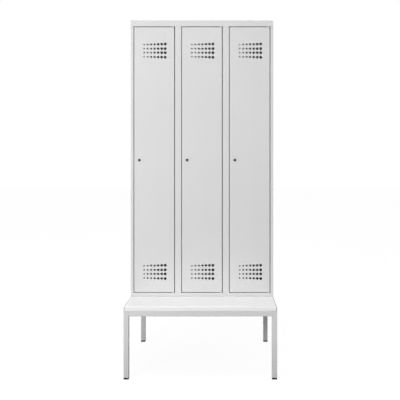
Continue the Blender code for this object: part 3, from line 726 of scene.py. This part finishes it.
ZINC = bright_zinc()
for bay in BAYS:
    low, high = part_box(f"coat_rail_{bay}")
    plate_radius = (high.z - low.z) / 2
    inner_left, inner_right = low.x + END_PLATE_THICKNESS, high.x - END_PLATE_THICKNESS
    sections = rounded_plate(plate_radius, low.x, inner_left, END_PLATE_EDGE)
    sections += [(COAT_RAIL_RADIUS, inner_left), (COAT_RAIL_RADIUS, inner_right)]
    sections += rounded_plate(plate_radius, inner_right, high.x, END_PLATE_EDGE)
    sections += [(COAT_RAIL_BORE, high.x), (COAT_RAIL_BORE, low.x)]
    middle = (low + high) / 2
    rings = [(radius, Vector((x, middle.y, middle.z))) for radius, x in sections]
    rail = turned(f"{bay}_coat_rail", 0, rings, COAT_RAIL_SIDES, hollow=True)
    close_piece(rail, ZINC)
    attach(rail, "cabinet")
    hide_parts(f"coat_rail_{bay}")


# Coat hooks
# Two hooks slide on each rail, bent from 5 mm zinc-plated wire: an eye round the rail, a neck, a
# straight shank and an open hook with a rounded tip.
WIRE_RADIUS = 0.0025
WIRE_SIDES = 16
WIRE_END_ROUNDS = ((0.0006, 0.0008), (0.0008, 0.0004))
EYE_START = -math.pi / 6
EYE_END = math.pi * 4 / 3
EYE_STEPS = 36
NECK_ANGLE = math.pi / 3
NECK_STEPS = 10
HOOK_SHANK = 0.030
HOOK_BEND = 0.012
HOOK_BEND_STEPS = 24
HOOK_TIP = 0.008


def beside(centre, distance, angle):
    """Point at a distance and angle from a centre, in the plane across the rail."""
    return centre + distance * Vector((0, math.cos(angle), math.sin(angle)))


low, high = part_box("coat_rail_left")
rail_axis = (low + high) / 2
low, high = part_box("coat_hook_left_a")
eye = Vector(((low.x + high.x) / 2, rail_axis.y, rail_axis.z))
eye_radius = COAT_RAIL_RADIUS + GAP + WIRE_RADIUS
neck = beside(eye, 2 * eye_radius, EYE_END)
bend = eye - Vector((0, HOOK_BEND, eye_radius + HOOK_SHANK))
bpy.ops.object.select_all(action="DESELECT")
bpy.ops.mesh.primitive_circle_add(vertices=WIRE_SIDES, radius=WIRE_RADIUS,
                                  location=beside(eye, eye_radius, EYE_START),
                                  rotation=(EYE_START, 0, 0), fill_type="NGON")
first_hook = open_piece("left_hook_a")
bpy.ops.mesh.select_all(action="SELECT")
bpy.ops.mesh.spin(steps=EYE_STEPS, angle=EYE_END - EYE_START, center=eye, axis=(1, 0, 0))
bpy.ops.mesh.spin(steps=NECK_STEPS, angle=-NECK_ANGLE, center=neck, axis=(1, 0, 0))
bpy.ops.mesh.extrude_region_move(TRANSFORM_OT_translate={"value": (0, 0, bend.z - neck.z)})
bpy.ops.mesh.spin(steps=HOOK_BEND_STEPS, angle=-math.pi, center=bend, axis=(1, 0, 0))
bpy.ops.mesh.extrude_region_move(TRANSFORM_OT_translate={"value": (0, 0, HOOK_TIP)})
bpy.ops.mesh.select_all(action="SELECT")
bpy.ops.mesh.normals_make_consistent(inside=False)
pick("FACE", lambda face: len(face.verts) == WIRE_SIDES)
for narrowing, lengthening in WIRE_END_ROUNDS:
    bpy.ops.mesh.inset(thickness=narrowing, depth=lengthening, use_individual=True)
close_piece(first_hook, ZINC)
hooks = {"left_a": first_hook}
for place in ("left_b", "middle_a", "middle_b", "right_a", "right_b"):
    bay, letter = place.split("_")
    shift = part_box(f"coat_hook_{place}")[0] - low
    hooks[place] = copy_piece(first_hook, f"{bay}_hook_{letter}", shift)
for place, hook in hooks.items():
    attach(hook, f"hook_{place}")
    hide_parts(f"coat_hook_{place}")


# Hinge pins
# Shouldered steel pins, two to a door, welded into the top and bottom rails and coated with them.
# Each stands in a hole in the door's edge, and the door rests on the lower one's collar.
PIN_RADIUS = 0.003
PIN_EDGE = 0.0004
PIN_SIDES = 32

door_low, door_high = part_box("door_panel_left")
door_gap = door_low.z - opening_bottom


def hinge_pin(name, node, collar_z):
    """Turned pin with its collar centred at a height, in the gap between door and rail."""
    low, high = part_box(node)
    middle = (low + high) / 2
    collar = (high.x - low.x) / 2
    rise = door_gap / 2 - GAP
    sections = [(PIN_RADIUS - PIN_EDGE, low.z), (PIN_RADIUS, low.z + PIN_EDGE),
                (PIN_RADIUS, collar_z - rise)]
    sections += rounded_plate(collar, collar_z - rise, collar_z + rise, PIN_EDGE)
    sections += [(PIN_RADIUS, collar_z + rise), (PIN_RADIUS, high.z - PIN_EDGE),
                 (PIN_RADIUS - PIN_EDGE, high.z)]
    rings = [(radius, Vector((middle.x, middle.y, z))) for radius, z in sections]
    pin = turned(name, 2, rings, PIN_SIDES)
    close_piece(pin, COAT)
    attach(pin, "cabinet")
    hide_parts(node)


for bay in BAYS:
    hinge_pin(f"{bay}_upper_hinge_pin", f"hinge_pin_{bay}_top", opening_top - door_gap / 2)
    hinge_pin(f"{bay}_lower_hinge_pin", f"hinge_pin_{bay}_bottom", opening_bottom + door_gap / 2)


# Doors
# Each door is a pan folded from one sheet, with returns round its open back. Two fields of round air
# holes are punched in it, growing towards the hinge side; the paint rounds their rims.
DOOR_RETURN = 0.009
HOLE_COLUMNS = 7
HOLE_PITCH = 0.02217
SMALL_HOLE = 0.0046
LARGE_HOLE = 0.0088
INNER_ROW = 0.01265
OUTER_ROW_SMALL = 0.0384
OUTER_ROW_LARGE = 0.0418
FIELD_SHIFT = 0.0029
TOP_FIELD_DROP = 0.1485
BOTTOM_FIELD_RISE = 0.128
LOCK_HOLE = 0.0083
HOLE_SIDES = 32
HOLE_RIM = 0.00015


def lock_axis(bay, y):
    """Point on a lock's axis."""
    low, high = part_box(f"lock_housing_{bay}")
    return Vector(((low.x + high.x) / 2, y, (low.z + high.z) / 2))


def air_holes():
    """Places and radii of the two fields of holes, as (x, z, radius)."""
    holes = []
    middle = (door_low.x + door_high.x) / 2 + FIELD_SHIFT
    for column in range(HOLE_COLUMNS):
        growth = column / (HOLE_COLUMNS - 1)
        x = middle + (column - (HOLE_COLUMNS - 1) / 2) * HOLE_PITCH
        radius = SMALL_HOLE + growth * (LARGE_HOLE - SMALL_HOLE)
        outer = OUTER_ROW_SMALL + growth * (OUTER_ROW_LARGE - OUTER_ROW_SMALL)
        for field_z in (door_high.z - TOP_FIELD_DROP, door_low.z + BOTTOM_FIELD_RISE):
            for row in (-outer, -INNER_ROW, INNER_ROW, outer):
                holes.append((x, field_z + row, radius))
    return holes


def punch_holes(door, holes):
    """Cut round holes through the door's face, flared at the rim."""
    punches = None
    bpy.ops.object.select_all(action="DESELECT")
    for x, z, radius in holes:
        place = (x, face_y - HOLE_RIM - OVERRUN / 2, z)
        bpy.ops.mesh.primitive_cylinder_add(vertices=HOLE_SIDES, radius=radius + 2 * HOLE_RIM,
                                            depth=OVERRUN, location=place, rotation=TURN_TO_AXIS[1])
        if punches is None:
            punches = open_piece("punches")
    pick("FACE", lambda face: face.normal.y > ALIGNED)
    bpy.ops.mesh.inset(thickness=2 * HOLE_RIM, depth=2 * HOLE_RIM, use_individual=True)
    bpy.ops.mesh.extrude_region_move(TRANSFORM_OT_translate={"value": (0, SHEET + OVERRUN, 0)})
    bpy.ops.object.mode_set(mode="OBJECT")
    subtract(door, punches)


first_door = start_block("left_door_panel", door_low, door_high)
pick("FACE", lambda face: face.normal.y > ALIGNED)
bpy.ops.mesh.inset(thickness=DOOR_RETURN, use_even_offset=True)
bpy.ops.mesh.delete(type="FACE")
pick("EDGE", lambda edge: not edge.is_boundary and edge.calc_face_angle() > SMOOTH_BELOW)
bpy.ops.mesh.bevel(offset=FOLD_RADIUS, segments=FOLD_STEPS, affect="EDGES")
bpy.ops.object.mode_set(mode="OBJECT")
apply_modifier(first_door, "SOLIDIFY", thickness=SHEET, offset=-1, use_even_offset=True)
lock_centre = lock_axis("left", face_y)
punch_holes(first_door, air_holes() + [(lock_centre.x, lock_centre.z, LOCK_HOLE)])
for height in (door_low.z + SHEET / 2, door_high.z - SHEET / 2):
    drill_pin_holes(first_door, height, ["left"])
close_piece(first_door, COAT)
doors = {"left": first_door}
for bay in BAYS[1:]:
    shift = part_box(f"door_panel_{bay}")[0] - door_low
    doors[bay] = copy_piece(first_door, f"{bay}_door_panel", shift)
for bay, door in doors.items():
    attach(door, f"door_{bay}")
    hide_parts(f"door_panel_{bay}")


# Door stiffeners
# A folded hat section spot-welded inside each door, between its two fields of holes, keeps the
# sheet from drumming.
STIFFENER_WEB = 0.030
STIFFENER_FOOT = 0.014

for bay in BAYS:
    low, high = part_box(f"door_stiffener_{bay}")
    middle = (low.x + high.x) / 2
    web = STIFFENER_WEB / 2
    foot_end = web + STIFFENER_FOOT
    crest = high.y - SHEET
    stiffener = fold_sheet(f"{bay}_door_stiffener", [Vector((middle + x, y, low.z)) for x, y in (
        (-foot_end, low.y), (-web, low.y), (-web, crest), (web, crest), (web, low.y),
        (foot_end, low.y))], Vector((0, 0, high.z - low.z)))
    close_piece(stiffener, COAT)
    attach(stiffener, f"door_{bay}")
    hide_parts(f"door_stiffener_{bay}")


# Locks
# Cam locks: a threaded housing with a flat round head is pushed through the door and held by a hex
# nut behind it. The plug turns in it with the key and carries the cam under a screw.
LOCK_SIDES = 48
HEAD_RADIUS = 0.0095
HEAD_RIM = 0.0006
HEAD_DISH = 0.0002
BARREL_RADIUS = 0.008
THREAD_PITCH = 0.001
THREAD_DEPTH = 0.0004
PLUG_RADIUS = 0.006
PLUG_EDGE = 0.0003
SPINDLE_RADIUS = 0.003
SCREW_HEAD_RADIUS = 0.0045
KEY_SLOT = (0.0014, 0.004, 0.007)
NUT_SIDES = 6
NUT_CHAMFER = 0.0006
CAM_EDGE = 0.0003
CAM_ROUND_STEPS = 12
NICKEL_DARK = 0.065
NICKEL_LIGHT = 0.09
NICKEL_ROUGHNESS = (0.22, 0.36)
NICKEL_CLOUD = 300


def dark_nickel():
    """Nickel plating coloured nearly black, satin, with a fine uneven grain."""
    material, shader, links = new_finish("dark_nickel", metallic=1.0)
    cloud = noise(material, NICKEL_CLOUD, detail=3)
    links.new(spread(material, cloud, NICKEL_DARK, NICKEL_LIGHT), shader.inputs["Base Color"])
    links.new(spread(material, cloud, *NICKEL_ROUGHNESS), shader.inputs["Roughness"])
    links.new(relief(material, cloud, METAL_GRAIN_DEPTH), shader.inputs["Normal"])
    return material


def on_axis(bay, sections):
    """Rings on a lock's axis from sections of (radius, y)."""
    return [(radius, lock_axis(bay, y)) for radius, y in sections]


def lock_housing(bay):
    low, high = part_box(f"lock_housing_{bay}")
    bore = PLUG_RADIUS + GAP
    under_head = face_y - GAP
    sections = [(bore, low.y + HEAD_RIM), (bore + PLUG_EDGE, low.y + HEAD_DISH),
                (HEAD_RADIUS - 2 * HEAD_RIM, low.y), (HEAD_RADIUS - HEAD_DISH, low.y + HEAD_DISH),
                (HEAD_RADIUS, low.y + HEAD_RIM), (HEAD_RADIUS, under_head), (BARREL_RADIUS, under_head)]
    threads = int((high.y - face_y - SHEET) / THREAD_PITCH)
    for turn in range(threads):
        y = face_y + SHEET + turn * THREAD_PITCH
        sections += [(BARREL_RADIUS, y), (BARREL_RADIUS - THREAD_DEPTH, y + THREAD_PITCH / 2)]
    sections += [(BARREL_RADIUS - THREAD_DEPTH, high.y), (bore, high.y)]
    return turned(f"{bay}_lock_housing", 1, on_axis(bay, sections), LOCK_SIDES, hollow=True)


def lock_plug(bay):
    low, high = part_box(f"lock_plug_{bay}")
    cam_low, cam_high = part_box(f"lock_cam_{bay}")
    shoulder = cam_low.y - GAP
    screw = cam_high.y + GAP
    sections = [(PLUG_RADIUS - PLUG_EDGE, low.y), (PLUG_RADIUS, low.y + PLUG_EDGE),
                (PLUG_RADIUS, shoulder), (SPINDLE_RADIUS, shoulder), (SPINDLE_RADIUS, screw),
                (SCREW_HEAD_RADIUS, screw), (SCREW_HEAD_RADIUS, high.y - PLUG_EDGE),
                (SCREW_HEAD_RADIUS - PLUG_EDGE, high.y)]
    plug = turned(f"{bay}_lock_plug", 1, on_axis(bay, sections), LOCK_SIDES)
    slot = Vector(KEY_SLOT)
    slot_centre = lock_axis(bay, low.y)
    trim(plug, (slot_centre - Vector((slot.x / 2, OVERRUN, slot.z / 2)),
                slot_centre + Vector((slot.x / 2, slot.y, slot.z / 2))))
    return plug


def lock_nut(bay):
    low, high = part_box(f"lock_nut_{bay}")
    radius = (high.x - low.x) / 2
    sections = rounded_plate(radius, low.y, high.y, NUT_CHAMFER)
    nut = turned(f"{bay}_lock_nut", 1, on_axis(bay, sections), NUT_SIDES)
    bore = [(BARREL_RADIUS + GAP, low.y - OVERRUN), (BARREL_RADIUS + GAP, high.y + OVERRUN)]
    subtract(nut, turned("bore", 1, on_axis(bay, bore), LOCK_SIDES))
    return nut


def lock_cam(bay):
    low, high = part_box(f"lock_cam_{bay}")
    cam = start_block(f"{bay}_lock_cam", low, high)
    pick("EDGE", lambda edge: runs_along(edge, 1))
    bpy.ops.mesh.bevel(offset=(high.x - low.x) / 2 - NEAR, segments=CAM_ROUND_STEPS, affect="EDGES")
    pick("EDGE", lambda edge: lies_at(edge, 1, low.y) or lies_at(edge, 1, high.y))
    bpy.ops.mesh.bevel(offset=CAM_EDGE, segments=1, affect="EDGES")
    bpy.ops.object.mode_set(mode="OBJECT")
    return cam


NICKEL = dark_nickel()
for bay in BAYS:
    for piece, node, body, material, slot in (
            (lock_housing(bay), "lock_housing", "door", NICKEL, "lock_nickel"),
            (lock_nut(bay), "lock_nut", "door", ZINC, "zinc_plated_steel"),
            (lock_plug(bay), "lock_plug", "lock", NICKEL, "lock_nickel"),
            (lock_cam(bay), "lock_cam", "lock", ZINC, "zinc_plated_steel")):
        close_piece(piece, material)
        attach(piece, f"{body}_{bay}")
        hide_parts(f"{node}_{bay}")


# Light, floor and camera
# A white ceiling and softboxes in front, on the left and overhead light the locker. For the light it
# throws back, the paper floor is painted black near the locker, painted shade that darkens the legs
# towards the floor; it shines white for the camera and keeps the locker's faint shadow.
SOFTBOX_SIZE = (2.4, 3.2)
SOFTBOX_AIM = Vector((0, -0.1, 1.15))
FRONT_BOX_PLACE = Vector((0, -7.0, 2.2))
FRONT_BOX_POWER = 20
LEFT_BOX_PLACE = Vector((-3.4, -6.2, 2.6))
LEFT_BOX_POWER = 300
TOP_BOX_PLACE = Vector((0, -2.0, 7.0))
TOP_BOX_POWER = 94
CEILING = 0.85
FLOOR_SIDE = 60
# Painted shade: near the locker the floor throws back no light, fading to grey farther off.
FLOOR_PAINTED_SHADE_REACH = (0.6, 1.4)
FLOOR_PAINTED_SHADE_GREYS = (0.0, 0.44)
FLOOR_GLOW = 0.93
FLOOR_SHADOW_GREY = 0.10
CAMERA_PLACE = (0.131, -3.8635, 1.253)
CAMERA_LENS = 53.44
CAMERA_SENSOR = 36
CAMERA_SHIFT = (-0.0568, -0.086)

for name, place, power in (("front_softbox", FRONT_BOX_PLACE, FRONT_BOX_POWER),
                           ("left_softbox", LEFT_BOX_PLACE, LEFT_BOX_POWER),
                           ("top_softbox", TOP_BOX_PLACE, TOP_BOX_POWER)):
    bpy.ops.object.light_add(type="AREA", location=place)
    lamp = bpy.context.object
    lamp.name = name
    lamp.rotation_euler = (place - SOFTBOX_AIM).to_track_quat("Z", "Y").to_euler()
    lamp.data.shape = "RECTANGLE"
    lamp.data.size, lamp.data.size_y = SOFTBOX_SIZE
    lamp.data.energy = power


def seen_directly(tree):
    """1 for camera, glossy and transmission rays, which see the plain white surroundings."""
    rays = tree.nodes.new("ShaderNodeLightPath")
    total = None
    for name in ("Is Camera Ray", "Is Glossy Ray", "Is Transmission Ray"):
        if total is None:
            total = rays.outputs[name]
            continue
        either = tree.nodes.new("ShaderNodeMath")
        either.operation = "MAXIMUM"
        tree.links.new(total, either.inputs[0])
        tree.links.new(rays.outputs[name], either.inputs[1])
        total = either.outputs["Value"]
    return total


world = bpy.data.worlds.new("studio")
bpy.context.scene.world = world
world.use_nodes = True
tree = world.node_tree
tree.nodes.clear()
direction = tree.nodes.new("ShaderNodeTexCoord")
split = tree.nodes.new("ShaderNodeSeparateXYZ")
upward = tree.nodes.new("ShaderNodeMapRange")
upward.inputs["To Max"].default_value = CEILING
fill = tree.nodes.new("ShaderNodeBackground")
white = tree.nodes.new("ShaderNodeBackground")
white.inputs["Color"].default_value = grey(1.0)
mix = tree.nodes.new("ShaderNodeMixShader")
out = tree.nodes.new("ShaderNodeOutputWorld")
tree.links.new(direction.outputs["Generated"], split.inputs["Vector"])
tree.links.new(split.outputs["Z"], upward.inputs["Value"])
tree.links.new(upward.outputs["Result"], fill.inputs["Color"])
tree.links.new(seen_directly(tree), mix.inputs["Fac"])
tree.links.new(fill.outputs["Background"], mix.inputs[1])
tree.links.new(white.outputs["Background"], mix.inputs[2])
tree.links.new(mix.outputs["Shader"], out.inputs["Surface"])

bpy.ops.mesh.primitive_plane_add(size=FLOOR_SIDE)
floor = bpy.context.object
floor.name = "studio_floor"
paper = bpy.data.materials.new("studio_paper")
paper.use_nodes = True
tree = paper.node_tree
tree.nodes.clear()
dull = tree.nodes.new("ShaderNodeBsdfDiffuse")
place = tree.nodes.new("ShaderNodeTexCoord")
distance = tree.nodes.new("ShaderNodeVectorMath")
distance.operation = "LENGTH"
# Painted shade on the floor: black near the locker, grey farther off, for the light it throws back.
painted_shade_fade = tree.nodes.new("ShaderNodeMapRange")
for socket, value in zip(("From Min", "From Max", "To Min", "To Max"), FLOOR_PAINTED_SHADE_REACH + FLOOR_PAINTED_SHADE_GREYS):
    painted_shade_fade.inputs[socket].default_value = value
tree.links.new(place.outputs["Object"], distance.inputs[0])
tree.links.new(distance.outputs["Value"], painted_shade_fade.inputs["Value"])
tree.links.new(painted_shade_fade.outputs["Result"], dull.inputs["Color"])
shade = tree.nodes.new("ShaderNodeBsdfDiffuse")
shade.inputs["Color"].default_value = grey(FLOOR_SHADOW_GREY)
glow = tree.nodes.new("ShaderNodeEmission")
glow.inputs["Color"].default_value = grey(1.0)
glow.inputs["Strength"].default_value = FLOOR_GLOW
seen = tree.nodes.new("ShaderNodeAddShader")
mix = tree.nodes.new("ShaderNodeMixShader")
out = tree.nodes.new("ShaderNodeOutputMaterial")
tree.links.new(shade.outputs["BSDF"], seen.inputs[0])
tree.links.new(glow.outputs["Emission"], seen.inputs[1])
tree.links.new(seen_directly(tree), mix.inputs["Fac"])
tree.links.new(dull.outputs["BSDF"], mix.inputs[1])
tree.links.new(seen.outputs["Shader"], mix.inputs[2])
tree.links.new(mix.outputs["Shader"], out.inputs["Surface"])
floor.data.materials.append(paper)
floor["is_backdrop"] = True

bpy.ops.object.camera_add(location=CAMERA_PLACE, rotation=(math.pi / 2, 0, 0))
camera = bpy.context.object
camera.data.lens = CAMERA_LENS
camera.data.sensor_width = CAMERA_SENSOR
camera.data.shift_x, camera.data.shift_y = CAMERA_SHIFT
bpy.context.scene.camera = camera
bpy.context.scene.view_settings.view_transform = "Standard"

low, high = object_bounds()
